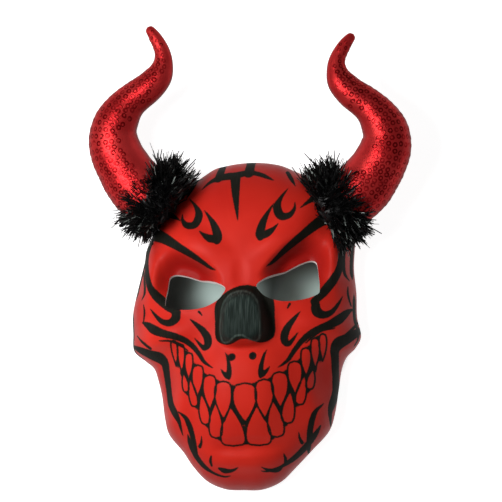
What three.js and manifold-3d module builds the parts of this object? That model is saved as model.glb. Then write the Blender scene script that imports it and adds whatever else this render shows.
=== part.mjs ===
import * as THREE from "three";
import { mergeVertices } from "three/addons/utils/BufferGeometryUtils.js";
import Module from "manifold-3d";

// A devil skull mask of moulded foam, with stuffed cloth horns, lies face up on its rim.
// Millimetres: +X is the right side as seen, +Y runs from chin to crown, +Z is out of the face.

// Driving sizes of the shell
const WALL = 3;
const DOME_RISE = 57;
const DOME_POWER = 2.5;
const HEART = [0, 125];
const RIM_BLEND = 0.35;
const EDGE_CROWD = 1.2;
const INNER_STEPS = 23;
const SHELL_STEPS = 2 * INNER_STEPS;

// The rim from crown to chin: the right half, then the left one with x turned round
const RIM_RIGHT = [
  [0, 251], [18, 248], [32, 242], [60, 224], [77, 196], [81, 182], [80.6, 162], [82.8, 143],
  [83.5, 126], [86.7, 112], [82.6, 103.5], [75.9, 97], [72.3, 88], [70.3, 74], [67.6, 56],
  [63.1, 43.5], [51, 30.5], [39.4, 18.5], [28, 7.5], [14, 1.6], [0, 1],
];
const RIM_LEFT = [
  [18, 250.5], [32, 246.5], [60, 226], [77, 196], [80, 182], [84.5, 162], [88, 143],
  [87.6, 126], [86.5, 112], [77.9, 103.5], [70.8, 97], [67.5, 88], [64.1, 74], [61.4, 56],
  [57.7, 43.5], [47.1, 30.5], [38.8, 18.5], [28, 7.5], [14, 1.6],
];
const RIM_STEPS = 10;

// The soft mask lies a little askew: features turn and drift towards the crown
const FACE_TILT = 0.0175;
const FACE_TWIST = 0.0006;
const TWIST_TOP = 170;
const FACE_SWING = 0.047;

// Swells and hollows of the face, as turned eggs; those off the middle repeat on both sides
const FACE_FORMS = {
  brow: { at: [36, 192], half: [44, 17], turn: 32, rise: 5 },
  socket: { at: [41, 165], half: [31, 22], turn: 14, fan: 0.5, square: 2.4, flat: 0.2, rise: -17 },
  orbitRim: { at: [70, 170], half: [13, 36], turn: -4, rise: 5 },
  cheekbone: { at: [62, 124], half: [40, 17], turn: -6, rise: 6 },
  cheekHollow: { at: [62, 84], half: [21, 38], turn: 8, rise: -7 },
  muzzle: { at: [0, 78], half: [50, 54], flat: 0.1, square: 2.5, rise: 10 },
  gumLine: { at: [0, 38], half: [40, 10], rise: -2 },
  chin: { at: [0, 26], half: [42, 13], rise: 3.5 },
  frown: { at: [0, 164], half: [9, 15], rise: -1.2 },
  nose: { at: [1.5, 132], half: [20.5, 24.5], narrow: -0.3, lean: -0.3, square: 2.8, flat: 0.5, rise: 16.5 },
};
const MIDDLE_BAND = 5;
const CENTRE_SOFTNESS = 3;

// Holes through the shell, as seen from the front
const EYE_HOLE = [
  [11.4, 154.5], [17, 158.5], [24, 161], [31.5, 162.5], [38.5, 165.5], [45.5, 168], [51, 168.8],
  [54.8, 166.5], [56, 158.5], [56.8, 148.5], [55, 143.8], [42.5, 140.8], [28.6, 141.2], [18.6, 145],
  [13.4, 149.8],
];
const NOSTRIL_MIDDLE = 0.2;
const NOSTRIL_AT = [7.5, 103.5];
const NOSTRIL_RADIUS = 2.3;
const NOSTRIL_SIDES = 10;
const CUT_BOTTOM = -5;
const CUT_TOP = 120;

// Horn: middle line as out, up, height and radius, for the left horn mirrored to positive x
const HORN_LINE = [
  [57, 209, 25, 12], [62.5, 212.5, 30.5, 17.5], [71, 218.5, 35, 21.3], [82, 228, 37, 21.8],
  [92, 242, 39, 20.5], [98.6, 256, 41.5, 19.2], [99.8, 269, 43, 17.6], [95.5, 280.5, 44, 15.6],
  [87, 291.5, 45.2, 12.6], [74, 301.3, 46.7, 11.4], [66, 310, 47.7, 10], [62.8, 320, 48.6, 7.2],
  [64, 329, 49.3, 5.7], [69, 338.5, 49.8, 4.7], [75, 346.5, 50, 2.9],
];
const STRETCH_FROM = 219;
const HORN_RINGS = 28;
const HORN_SIDES = 14;
const HORN_SIDES_OF_FACE = {
  left: { side: -1, out: 0, up: 0, stretch: 1 },
  right: { side: 1, out: 3, up: 0.5, stretch: 0.955 },
};

// Ruff: a tufted ring round the horn's root
const RUFF_TUFTS = 18;
const TUFT_UNEVEN = 0.13;
const RUFF_CORE = 17;
const RUFF_LIFT = 0.8;
const RUFF_AT = [66, 216.5, 36];
const RUFF_HEADING = [0.8, 0.6, 0.06];
const RUFF_PROFILE = [
  { along: 12, short: RUFF_CORE, long: RUFF_CORE },
  { along: 14, short: 27, long: 34 },
  { along: 1, short: 32, long: 40 },
  { along: -13, short: 27, long: 35 },
  { along: -13, short: RUFF_CORE, long: RUFF_CORE },
];

// Room between pieces that touch
const GAP = 0.3;

const wasm = await Module();
wasm.setup();

const red = { roughness: 0.45, metalness: 0 };
const MATERIALS = {
  shell: new THREE.MeshStandardMaterial({ color: 0xc91f1c, ...red }),
  horn: new THREE.MeshStandardMaterial({ color: 0xb3121b, roughness: 0.35, metalness: 0.3 }),
  ruff: new THREE.MeshStandardMaterial({ color: 0x0d0d0e, roughness: 0.6, metalness: 0 }),
};

function quinticFall(share) {
  const t = Math.min(Math.max(share, 0), 1);
  return 1 - t * t * t * (10 - 15 * t + 6 * t * t);
}

// A smooth curve through points of any length, by Catmull and Rom's rule
function splineThrough(points, steps, closed = false) {
  const first = points[0];
  const last = points[points.length - 1];
  const before = first.map((value, k) => 2 * value - points[1][k]);
  const after = last.map((value, k) => 2 * value - points[points.length - 2][k]);
  const padded = closed ? [last, ...points, first, points[1]] : [before, ...points, after];
  const curve = [];
  for (let i = 1; i < padded.length - 2; i += 1) {
    const [p0, p1, p2, p3] = padded.slice(i - 1, i + 3);
    for (let step = 0; step < steps; step += 1) {
      const t = step / steps;
      const place = p1.map((_, k) => {
        const square = 2 * p0[k] - 5 * p1[k] + 4 * p2[k] - p3[k];
        const cube = -p0[k] + 3 * p1[k] - 3 * p2[k] + p3[k];
        return 0.5 * (2 * p1[k] + (p2[k] - p0[k]) * t + square * t * t + cube * t * t * t);
      });
      curve.push(place);
    }
  }
  return closed ? curve : [...curve, last];
}

// The rim's radius from the heart of the face, by angle
const rimOutline = [...RIM_RIGHT, ...RIM_LEFT.map(([x, y]) => [-x, y]).reverse()];
const rimByAngle = splineThrough(rimOutline, RIM_STEPS, true)
  .map(([x, y]) => ({
    angle: Math.atan2(y - HEART[1], x - HEART[0]),
    radius: Math.hypot(x - HEART[0], y - HEART[1]),
  }))
  .sort((a, b) => a.angle - b.angle);

function rimRadius(angle) {
  const full = 2 * Math.PI;
  const turned = Math.atan2(Math.sin(angle), Math.cos(angle));
  const next = Math.max(rimByAngle.findIndex((point) => point.angle > turned), 0);
  const a = rimByAngle[(next + rimByAngle.length - 1) % rimByAngle.length];
  const b = rimByAngle[next];
  const share = ((turned - a.angle + full) % full) / ((b.angle - a.angle + full) % full);
  return a.radius + share * (b.radius - a.radius);
}

function formRise(x, y, form) {
  const { at, half, rise, turn = 0, fan = 0, narrow = 0, lean = 0, square = 2, flat = 0 } = form;
  const angle = THREE.MathUtils.degToRad(turn);
  const dx = x - at[0];
  const dy = y - at[1];
  const u = (dx * Math.cos(angle) + dy * Math.sin(angle)) / half[0];
  const v = (-dx * Math.sin(angle) + dy * Math.cos(angle)) / half[1];
  const along = THREE.MathUtils.clamp(u, -1, 1);
  const across = THREE.MathUtils.clamp(v, -1, 1);
  const wide = Math.abs(u / (1 + narrow * across)) ** square;
  const high = Math.abs(v / (1 + fan * along)) ** square;
  const reach = (wide + high) ** (1 / square);
  return rise * (1 + lean * across) * quinticFall((reach - flat) / (1 - flat));
}

function faceRelief(faceX, y) {
  const sideX = Math.sqrt(faceX * faceX + CENTRE_SOFTNESS * CENTRE_SOFTNESS);
  let rise = 0;
  for (const form of Object.values(FACE_FORMS)) {
    const onMiddle = Math.abs(form.at[0]) < MIDDLE_BAND;
    rise += formRise(onMiddle ? faceX : sideX, y, form);
  }
  return rise;
}

// Height of the shell's outside over the plan, zero at the rim
function shellHeight(x, y, reach) {
  const dome = Math.max(0, 1 - reach ** DOME_POWER) ** (1 / DOME_POWER);
  const faceX = x + FACE_SWING * (y - HEART[1]);
  const inside = Math.max(0, 1 - reach ** 8) * Math.min(1, dome / RIM_BLEND);
  return DOME_RISE * dome + faceRelief(faceX, y) * inside;
}

// The lie of the mask moves a point of the straight plan
function lie(x, y) {
  return y + (FACE_TILT + FACE_TWIST * Math.min(y, TWIST_TOP)) * x;
}

// A point of the shell's outside from grid shares a and b, both from -1 to 1
function shellPoint(a, b) {
  const u = a * Math.sqrt(1 - (b * b) / 2);
  const v = b * Math.sqrt(1 - (a * a) / 2);
  const onRim = Math.max(Math.abs(a), Math.abs(b)) > 1 - 1e-9;
  const reach = onRim ? 1 : 1 - (1 - Math.hypot(u, v)) ** EDGE_CROWD;
  const angle = Math.atan2(v, u);
  const x = HEART[0] + reach * rimRadius(angle) * Math.cos(angle);
  const y = HEART[1] + reach * rimRadius(angle) * Math.sin(angle);
  return new THREE.Vector3(x, lie(x, y), onRim ? 0 : shellHeight(x, y, reach));
}

function rimPoint(angle) {
  const x = HEART[0] + rimRadius(angle) * Math.cos(angle);
  const y = HEART[1] + rimRadius(angle) * Math.sin(angle);
  return new THREE.Vector3(x, lie(x, y), 0);
}

// The outside's direction there, level at the rim
function shellNormal(a, b) {
  const step = 1 / SHELL_STEPS;
  const clampShare = (value) => Math.min(Math.max(value, -1), 1);
  const alongA = shellPoint(clampShare(a + step), b).sub(shellPoint(clampShare(a - step), b));
  const alongB = shellPoint(a, clampShare(b + step)).sub(shellPoint(a, clampShare(b - step)));
  if (Math.max(Math.abs(a), Math.abs(b)) < 1 - 1e-9) {
    return alongA.cross(alongB).normalize();
  }
  const angle = Math.atan2(b * Math.sqrt(1 - (a * a) / 2), a * Math.sqrt(1 - (b * b) / 2));
  const alongRim = rimPoint(angle + step).sub(rimPoint(angle - step));
  return new THREE.Vector3(alongRim.y, -alongRim.x, 0).normalize();
}

// A square grid of the outside, moved along its directions by an offset
function shellGrid(steps, offset) {
  const points = [];
  for (let j = 0; j <= steps; j += 1) {
    for (let i = 0; i <= steps; i += 1) {
      const a = -1 + (2 * i) / steps;
      const b = -1 + (2 * j) / steps;
      points.push(shellPoint(a, b).addScaledVector(shellNormal(a, b), offset));
    }
  }
  return points;
}

function gridFaces(steps, first, flip) {
  const faces = [];
  const row = steps + 1;
  for (let j = 0; j < steps; j += 1) {
    for (let i = 0; i < steps; i += 1) {
      const corner = first + j * row + i;
      const leansLeft = (i < steps / 2) !== (j < steps / 2);
      const quads = leansLeft
        ? [[corner, corner + 1, corner + row], [corner + 1, corner + row + 1, corner + row]]
        : [[corner, corner + 1, corner + row + 1], [corner, corner + row + 1, corner + row]];
      for (const [p, q, r] of quads) {
        faces.push(flip ? [p, r, q] : [p, q, r]);
      }
    }
  }
  return faces;
}

// The grid's border, counter-clockwise from its first corner
function gridBorder(steps, first) {
  const row = steps + 1;
  const border = [];
  for (let i = 0; i < steps; i += 1) border.push(first + i);
  for (let j = 0; j < steps; j += 1) border.push(first + steps + j * row);
  for (let i = steps; i > 0; i -= 1) border.push(first + steps * row + i);
  for (let j = steps; j > 0; j -= 1) border.push(first + j * row);
  return border;
}

function geometryFrom(points, faces) {
  const geometry = new THREE.BufferGeometry();
  const places = points.flatMap((point) => [point.x, point.y, point.z]);
  geometry.setAttribute("position", new THREE.Float32BufferAttribute(places, 3));
  geometry.setIndex(faces.flat());
  return geometry;
}

function toSolid(geometry) {
  const bare = geometry.clone();
  bare.deleteAttribute("normal");
  bare.deleteAttribute("uv");
  const merged = mergeVertices(bare, 1e-4);
  const mesh = new wasm.Mesh({
    numProp: 3,
    vertProperties: new Float32Array(merged.attributes.position.array),
    triVerts: new Uint32Array(merged.index.array),
  });
  return new wasm.Manifold(mesh);
}

function fromSolid(solid) {
  const mesh = solid.getMesh();
  const geometry = new THREE.BufferGeometry();
  geometry.setAttribute("position", new THREE.BufferAttribute(mesh.vertProperties, 3));
  geometry.setIndex(new THREE.BufferAttribute(mesh.triVerts, 1));
  return geometry;
}

// The moulded wall: outside, coarser inside, and the flat rim between them
function shellWall() {
  const outside = shellGrid(SHELL_STEPS, 0);
  const inside = shellGrid(INNER_STEPS, -WALL);
  const points = [...outside, ...inside];
  const faces = [
    ...gridFaces(SHELL_STEPS, 0, false),
    ...gridFaces(INNER_STEPS, outside.length, true),
  ];
  const outer = gridBorder(SHELL_STEPS, 0);
  const inner = gridBorder(INNER_STEPS, outside.length);
  for (let k = 0; k < inner.length; k += 1) {
    const nextInner = inner[(k + 1) % inner.length];
    const middle = outer[2 * k + 1];
    const nextOuter = outer[(2 * k + 2) % outer.length];
    faces.push([outer[2 * k], inner[k], middle]);
    faces.push([middle, inner[k], nextInner]);
    faces.push([middle, nextInner, nextOuter]);
  }
  return geometryFrom(points, faces);
}

// Everything under the shell's outside, grown by the gap
function shellRoom() {
  const points = shellGrid(SHELL_STEPS, GAP);
  const faces = gridFaces(SHELL_STEPS, 0, false);
  const border = gridBorder(SHELL_STEPS, 0);
  points.push(new THREE.Vector3(HEART[0], HEART[1], CUT_BOTTOM));
  border.forEach((point, k) => {
    faces.push([border[(k + 1) % border.length], point, points.length - 1]);
  });
  return geometryFrom(points, faces);
}

// A straight cutter for a hole, its outline moved with the lie of the face
function holeCutter(outline) {
  const placed = outline.map(([faceX, y]) => {
    const x = faceX - FACE_SWING * (y - HEART[1]);
    return new THREE.Vector2(x, lie(x, y));
  });
  const shape = new THREE.Shape(placed);
  const geometry = new THREE.ExtrudeGeometry(shape, {
    depth: CUT_TOP - CUT_BOTTOM,
    bevelEnabled: false,
  });
  geometry.translate(0, 0, CUT_BOTTOM);
  return toSolid(geometry);
}

function nostrilOutline(side) {
  const outline = [];
  for (let k = 0; k < NOSTRIL_SIDES; k += 1) {
    const angle = (2 * Math.PI * k) / NOSTRIL_SIDES;
    const x = NOSTRIL_MIDDLE + side * NOSTRIL_AT[0] + NOSTRIL_RADIUS * Math.cos(angle);
    outline.push([x, NOSTRIL_AT[1] + NOSTRIL_RADIUS * Math.sin(angle)]);
  }
  return outline;
}

function maskShell() {
  let solid = toSolid(shellWall());
  for (const side of [-1, 1]) {
    solid = solid.subtract(holeCutter(EYE_HOLE.map(([x, y]) => [side * x, y])));
    solid = solid.subtract(holeCutter(nostrilOutline(side)));
  }
  return fromSolid(solid);
}

// The horn's middle line on its own side of the face
function hornLine({ side, out, up, stretch }) {
  const placed = HORN_LINE.map(([x, y, z, radius]) => {
    return [side * (x + out), STRETCH_FROM + up + (y - STRETCH_FROM) * stretch, z, radius];
  });
  const fine = splineThrough(placed, 12);
  const line = [];
  for (let ring = 0; ring < HORN_RINGS; ring += 1) {
    line.push(fine[Math.round((ring * (fine.length - 1)) / (HORN_RINGS - 1))]);
  }
  return line;
}

// A round tube of changing radius, closed by a cap at both ends
function taperedTube(line, sides, grow) {
  const middles = line.map(([x, y, z]) => new THREE.Vector3(x, y, z));
  const points = [];
  const faces = [];
  middles.forEach((middle, ring) => {
    const before = middles[Math.max(ring - 1, 0)];
    const after = middles[Math.min(ring + 1, middles.length - 1)];
    const along = after.clone().sub(before).normalize();
    const across = new THREE.Vector3(0, 0, 1).cross(along).normalize();
    const upright = along.clone().cross(across);
    for (let k = 0; k < sides; k += 1) {
      const angle = (2 * Math.PI * k) / sides;
      const point = middle.clone();
      point.addScaledVector(across, (line[ring][3] + grow) * Math.cos(angle));
      point.addScaledVector(upright, (line[ring][3] + grow) * Math.sin(angle));
      points.push(point);
    }
  });
  const lastRing = (middles.length - 1) * sides;
  points.push(middles[0].clone(), middles[middles.length - 1].clone());
  for (let k = 0; k < sides; k += 1) {
    const next = (k + 1) % sides;
    for (let ring = 0; ring < middles.length - 1; ring += 1) {
      const low = ring * sides;
      const high = low + sides;
      faces.push([low + k, low + next, high + next], [low + k, high + next, high + k]);
    }
    faces.push([points.length - 2, next, k]);
    faces.push([points.length - 1, lastRing + k, lastRing + next]);
  }
  return geometryFrom(points, faces);
}

// A tufted ring round the horn's root
function tuftedRing({ side, out, up, stretch }) {
  const root = new THREE.Vector3(side * (RUFF_AT[0] + out), RUFF_AT[1] + up, RUFF_AT[2]);
  const [ahead, above, outward] = RUFF_HEADING;
  const along = new THREE.Vector3(side * ahead, stretch * above, outward).normalize();
  const across = new THREE.Vector3(0, 0, 1).cross(along).normalize();
  const upright = along.clone().cross(across);
  const turns = 2 * RUFF_TUFTS;
  const points = [];
  const faces = [];
  for (let turn = 0; turn < turns; turn += 1) {
    const angle = (2 * Math.PI * turn) / turns;
    RUFF_PROFILE.forEach(({ along: shift, short, long }, row) => {
      const uneven = 1 + TUFT_UNEVEN * Math.sin(2.4 * turn + 1.9 * row);
      const radius = (turn + row) % 2 === 0 ? short + (long - short) * uneven * uneven : short;
      const point = root.clone().addScaledVector(along, shift);
      point.addScaledVector(across, radius * Math.cos(angle));
      point.addScaledVector(upright, radius * Math.sin(angle));
      points.push(point);
    });
  }
  const rows = RUFF_PROFILE.length;
  for (let turn = 0; turn < turns; turn += 1) {
    for (let row = 0; row < rows; row += 1) {
      const a = turn * rows + row;
      const b = turn * rows + ((row + 1) % rows);
      const c = ((turn + 1) % turns) * rows + row;
      const d = ((turn + 1) % turns) * rows + ((row + 1) % rows);
      faces.push([a, b, d], [a, d, c]);
    }
  }
  return geometryFrom(points, faces);
}

function floorBlock() {
  const reach = 1000;
  const block = new THREE.BoxGeometry(reach, reach, reach);
  block.translate(0, 0, RUFF_LIFT - reach / 2);
  return toSolid(block);
}

const mask = new THREE.Group();

function addPiece(name, geometry, material) {
  const mesh = new THREE.Mesh(geometry, material);
  mesh.name = name;
  mask.add(mesh);
}

addPiece("mask_shell", maskShell(), MATERIALS.shell);
const room = toSolid(shellRoom());
const floor = floorBlock();
for (const [name, placing] of Object.entries(HORN_SIDES_OF_FACE)) {
  const line = hornLine(placing);
  const horn = toSolid(taperedTube(line, HORN_SIDES, 0)).subtract(room);
  addPiece(`horn_${name}`, fromSolid(horn), MATERIALS.horn);
  const hornRoom = toSolid(taperedTube(line, HORN_SIDES, GAP));
  const ruff = toSolid(tuftedRing(placing)).subtract(room).subtract(hornRoom).subtract(floor);
  addPiece(`ruff_${name}`, fromSolid(ruff), MATERIALS.ruff);
}

// The origin is under the middle of the whole mask
const bounds = new THREE.Box3().setFromObject(mask);
const middle = bounds.getCenter(new THREE.Vector3());
mask.position.set(-middle.x, -middle.y, -bounds.min.z);
mask.updateMatrixWorld(true);

export default mask;
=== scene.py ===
import math

import bpy
import numpy as np
from mathutils import Matrix, Vector


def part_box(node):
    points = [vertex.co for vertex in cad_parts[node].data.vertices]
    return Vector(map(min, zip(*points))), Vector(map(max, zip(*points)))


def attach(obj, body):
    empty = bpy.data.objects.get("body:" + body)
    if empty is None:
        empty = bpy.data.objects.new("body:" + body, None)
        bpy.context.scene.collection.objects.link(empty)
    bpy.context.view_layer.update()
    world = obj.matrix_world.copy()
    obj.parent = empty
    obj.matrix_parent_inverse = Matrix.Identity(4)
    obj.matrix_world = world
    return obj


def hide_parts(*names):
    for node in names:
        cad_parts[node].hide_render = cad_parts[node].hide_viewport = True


# A devil skull mask of moulded, printed foam with stuffed sequin horns and tinsel ruffs.
# It lies face up on a pale floor. Shapes are in millimetres of the mask's own plan:
# +X is the right side as seen, +Y runs from chin to crown, +Z is out of the face.
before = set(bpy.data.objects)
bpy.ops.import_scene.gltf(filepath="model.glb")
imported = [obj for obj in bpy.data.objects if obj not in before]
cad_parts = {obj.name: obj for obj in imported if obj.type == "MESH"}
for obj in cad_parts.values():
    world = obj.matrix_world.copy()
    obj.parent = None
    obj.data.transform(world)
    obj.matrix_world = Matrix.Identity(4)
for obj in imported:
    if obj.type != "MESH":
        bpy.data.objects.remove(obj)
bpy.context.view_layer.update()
bpy.ops.object.select_all(action="DESELECT")
random_numbers = np.random.default_rng(11)
METRES = 0.001

# Shell
WALL = 3.0
DOME_RISE = 57.0
DOME_POWER = 2.5
HEART = (0.0, 125.0)
RIM_BLEND = 0.35
EDGE_CROWD = 1.2
INSIDE_GRID = (80, 102)
OUTSIDE_GRID = (3 * INSIDE_GRID[0], 3 * INSIDE_GRID[1])
ROOM_GRID = (80, 104)
CAD_GRID = 46
RIM_STEPS = 10
NORMAL_STEP = 0.012
RELIEF_POWER = 8
# The rim from crown to chin: the right half, then the left one with x turned round
RIM_RIGHT = [
    (0, 251), (18, 248), (32, 242), (60, 224), (77, 196), (81, 182), (80.6, 162), (82.8, 143),
    (83.5, 126), (86.7, 112), (82.6, 103.5), (75.9, 97), (72.3, 88), (70.3, 74), (67.6, 56),
    (63.1, 43.5), (51, 30.5), (39.4, 18.5), (28, 7.5), (14, 1.6), (0, 1),
]
RIM_LEFT = [
    (18, 250.5), (32, 246.5), (60, 226), (77, 196), (80, 182), (84.5, 162), (88, 143),
    (87.6, 126), (86.5, 112), (77.9, 103.5), (70.8, 97), (67.5, 88), (64.1, 74), (61.4, 56),
    (57.7, 43.5), (47.1, 30.5), (38.8, 18.5), (28, 7.5), (14, 1.6),
]

# The soft mask lies a little askew
FACE_TILT = 0.0175
FACE_TWIST = 0.0006
TWIST_TOP = 170.0
FACE_SWING = 0.047

# Swells and hollows of the face, as turned eggs; those off the middle repeat on both sides
FACE_FORMS = {
    "brow": dict(at=(36, 192), half=(44, 17), turn=32, rise=5),
    "socket": dict(at=(41, 165), half=(31, 22), turn=14, fan=0.5, square=2.4, flat=0.2, rise=-17),
    "orbit rim": dict(at=(70, 170), half=(13, 36), turn=-4, rise=5),
    "cheekbone": dict(at=(62, 124), half=(40, 17), turn=-6, rise=6),
    "cheek hollow": dict(at=(62, 84), half=(21, 38), turn=8, rise=-7),
    "muzzle": dict(at=(0, 78), half=(50, 54), flat=0.1, square=2.5, rise=10),
    "gum line": dict(at=(0, 38), half=(40, 10), rise=-2),
    "chin": dict(at=(0, 26), half=(42, 13), rise=3.5),
    "frown": dict(at=(0, 164), half=(9, 15), rise=-1.2),
    "nose": dict(at=(1.5, 132), half=(20.5, 24.5), narrow=-0.3, lean=-0.3, square=2.8, flat=0.5, rise=16.5),
}
MIDDLE_BAND = 5.0
CENTRE_SOFTNESS = 3.0

# Holes through the shell
EYE_HOLE = [
    (11.4, 154.5), (17, 158.5), (24, 161), (31.5, 162.5), (38.5, 165.5), (45.5, 168), (51, 168.8),
    (54.8, 166.5), (56, 158.5), (56.8, 148.5), (55, 143.8), (42.5, 140.8), (28.6, 141.2),
    (18.6, 145), (13.4, 149.8),
]
NOSTRIL_MIDDLE = 0.2
NOSTRIL_AT = (7.5, 103.5)
NOSTRIL_RADIUS = 2.3
NOSTRIL_INK = 2.8
NOSTRIL_SIDES = 20
OUTLINE_STEPS = 4
HOLE_SLANT = 0.3
CUTTER_REACH = 25.0

# Black print: middle line and half width of each stroke, in millimetres on the face. Strokes
# at the sides are drawn once for positive x and repeated on both sides.
MIDDLE_STROKES = {
    "centre spike": [(-3.5, 238, 4), (-3, 225, 3), (-2.2, 214, 1.7), (-1.3, 203, 0.4)],
    "crown crescent": [
        (-29, 231, 0.4), (-24.5, 235, 1.2), (-19.5, 237.5, 2), (-12, 239, 3), (-4, 239, 3),
        (4, 240, 2.5), (10, 239.5, 2), (16.5, 237, 1.8), (20, 235, 1.4), (25, 232, 0.4),
    ],
    "left crown bar": [(-16.5, 238, 3.2), (-15, 244, 3), (-13.5, 252, 2.6)],
    "right crown bar": [(6.5, 240, 4), (7.2, 246, 3.5), (7.5, 253, 3.8)],
}
SIDE_STROKES = {
    "ruff spike": [(35, 238, 1.5), (38, 232, 1.5), (41, 226, 0.4)],
    "outer hook": [
        (37, 224.5, 0.4), (31.5, 217, 1.6), (29, 210, 3.1), (32, 203.3, 3.1), (38, 203.5, 2.4),
        (41.5, 208, 1.3), (42, 213, 0.4),
    ],
    "inner hook": [(24, 214, 0.4), (19.5, 207, 1.6), (16, 200, 2.8), (14, 193, 3.4), (14.3, 189.5, 2.6)],
    "inner hook's foot": [(15, 191, 3), (19.5, 192, 2.9), (24, 195, 1.6), (27.5, 198.5, 0.4)],
    "temple spike": [(57, 217, 3), (50, 212.5, 1.6), (44.5, 208.5, 0.4)],
    "brow flame": [
        (66, 203, 5), (57, 198, 4), (45.5, 189.8, 2.9), (36, 183, 2.3), (28.5, 177, 1.7),
        (23, 172.3, 1.2), (18.5, 169.5, 0.4),
    ],
    "side stroke": [
        (69, 199, 2), (73, 182, 2.2), (70, 163, 2.5), (65, 154, 3.3), (58.5, 147, 3.5),
        (53, 142, 3), (49, 139, 2.6),
    ],
    "side hook": [(78, 182, 0.5), (75, 170, 1), (74.3, 158, 1.2), (77.5, 152, 0.4)],
    "thin tail": [(76, 148, 0.4), (75.5, 142, 0.9), (77, 134, 0.6)],
    "under-eye hook": [
        (48, 138, 3.2), (48.5, 133, 3.6), (53, 130, 2.8), (59, 131.5, 2), (64, 136.5, 1.3),
        (68, 142, 0.4),
    ],
    "eye tick": [(33, 138.5, 1), (32, 137, 0.8), (31, 135.5, 0.5)],
    "long cheek stroke": [
        (77.5, 133, 0.8), (73, 130.5, 2.5), (67.5, 126.5, 3.5), (60.5, 123.3, 3), (53.5, 121, 2.7),
        (46, 117.7, 2.4), (40, 113, 2.1), (35, 107, 1.8), (31, 101, 1.5), (27.5, 98, 1),
        (23.5, 95.5, 0.4),
    ],
    "cheek hook": [
        (37, 131.5, 0.4), (33, 127.5, 1.5), (28, 122, 2.5), (25, 116.5, 3), (24.8, 111.8, 2.8),
        (27.5, 109.3, 2), (31, 112.5, 1.2), (34.5, 117, 0.4),
    ],
    "jaw stroke": [
        (87, 116, 1.2), (79.5, 112.5, 2.8), (71, 108.5, 3.8), (64, 105.5, 4.5), (60.5, 101, 3.5),
        (59.5, 95, 3), (58.5, 88, 2.8), (57.3, 79.5, 2.6), (55.5, 70, 2.9), (51.5, 62.5, 2.8),
        (48.8, 57, 1.8), (47.5, 50.5, 1), (46.5, 45.5, 0.4),
    ],
    "jaw echo": [(83.5, 124, 0.5), (78, 118.5, 1.1), (72, 113.5, 1.2)],
    "hollow line": [(64, 119, 0.5), (55, 118, 0.9), (48, 114, 0.9), (43, 110, 0.5)],
    "chin blade": [
        (47, 64.5, 0.4), (41.5, 60, 1.6), (38.8, 54.5, 2.2), (37, 47.5, 2.2), (36, 40.5, 2.2),
        (35, 33, 1.6), (34.5, 28, 0.8),
    ],
    "chin sweep": [
        (44, 46.5, 0.5), (43, 41, 1.8), (41.5, 36, 2.2), (39, 30.5, 2.4), (36, 25.5, 2.2),
        (32.5, 21.5, 2), (28, 18, 1.3), (22.5, 15.3, 1), (17.5, 14.3, 0.8), (13.5, 15, 0.4),
    ],
    "chin tick": [(33, 45.5, 0.4), (33.5, 41, 1), (35, 37.5, 1.4)],
    "chin curl": [(26.5, 31, 0.5), (27.5, 27, 1.2), (27, 23, 0.9)],
    "chin leaf": [(21.5, 20, 1), (18, 18.3, 2.2), (14, 18, 1.6), (10.5, 19, 1.1), (7, 21, 0.4)],
    "lip tick": [
        (14, 107, 0.4), (12.3, 104, 1), (11, 99, 1.4), (10.3, 94.3, 1.9), (10.5, 90, 2),
        (10, 87.4, 0.5),
    ],
    "lip hook": [(16.5, 95.2, 0.4), (14.2, 92.2, 1.3), (11.7, 90, 2)],
}
# How far a stroke lies further out and up than drawn, on the left and on the right side
STROKE_MOVES = {
    "outer hook": ((1.5, 0.8), (-1.5, 0)),
    "inner hook": ((2.2, 0), (0.8, -0.7)),
    "inner hook's foot": ((2.2, 0), (0.8, -0.7)),
    "brow flame": ((0, -1.4), (0, -2.3)),
    "side stroke": ((0, 0), (1.5, 0)),
    "under-eye hook": ((2.3, 2), (3.4, -1)),
    "long cheek stroke": ((0, 1), (0, -1.5)),
    "cheek hook": ((3, 2), (3.1, 1)),
    "jaw stroke": ((1.5, 0), (0.5, 2.5)),
    "chin blade": ((3.6, 0), (9.5, 1.5)),
    "chin sweep": ((0, 0), (10, 4)),
    "chin leaf": ((0, 1), (3, 1)),
    "chin tick": ((0, 0), (5, 1)),
    "lip tick": ((0.7, 0), (1.4, 0)),
    "lip hook": ((0.7, 0), (1.4, 0)),
}
# How far a right stroke leans out for each step down, where the jaw is folded in
RIGHT_LEANS = {"jaw stroke": 0.2, "chin sweep": -0.45}
STROKE_STEPS = 5
# Distances from the ink's edge are kept up to this far; the edge is ragged and a little soft
INK_FAR = 4.0
INK_RAGGED = 0.7
INK_SOFTNESS = 0.35
# The print slides to one side round the nose, and the teeth slide by a share of that
PRINT_SLIDE = 2.7
SLIDE_AT = 118.0
SLIDE_SPREAD = 35.0
TOOTH_SLIDE = 0.5

# A thin dark line just inside the rim, as height on the face and half width
RIM_LINE_REACH = 0.975
RIM_LINE_SCALE = 85.0
RIM_LINE = [
    (100, -1), (106, 0.6), (122, 1.3), (138, 1.2), (146, -0.6), (150, -0.6), (156, 1.3), (180, 1.6),
    (196, 1.2), (204, -1),
]

# The nose's black field and the paler arch with its ridge, as height on the face and half width.
# The arch's pale grey is partly print and partly painted light; the ridge is a painted highlight.
NOSE_MIDDLE = 2.3
ARCH_MIDDLE = -0.4
ARCH_FAR = 6.0
ARCH_SOFTNESS = 0.6
RIDGE_INSIDE = 0.9
RIDGE_WIDTH = 1.2
NOSE_FIELD = [
    (155, 3), (151.5, 12.5), (143.5, 21), (130, 21.8), (118.5, 21.6), (114, 18), (112.5, 11),
    (116, 2),
]
NOSE_ARCH = [
    (151.5, 2.5), (149.5, 8), (145, 12.2), (138, 14.8), (128, 15.4), (120, 15.3), (115, 14.2),
    (113.2, 11), (114.5, 7), (118, 2),
]
# The arch turns paler between these places along the frame's Y, in metres
STREAK_RANGE = (-0.062, -0.026)
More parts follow.
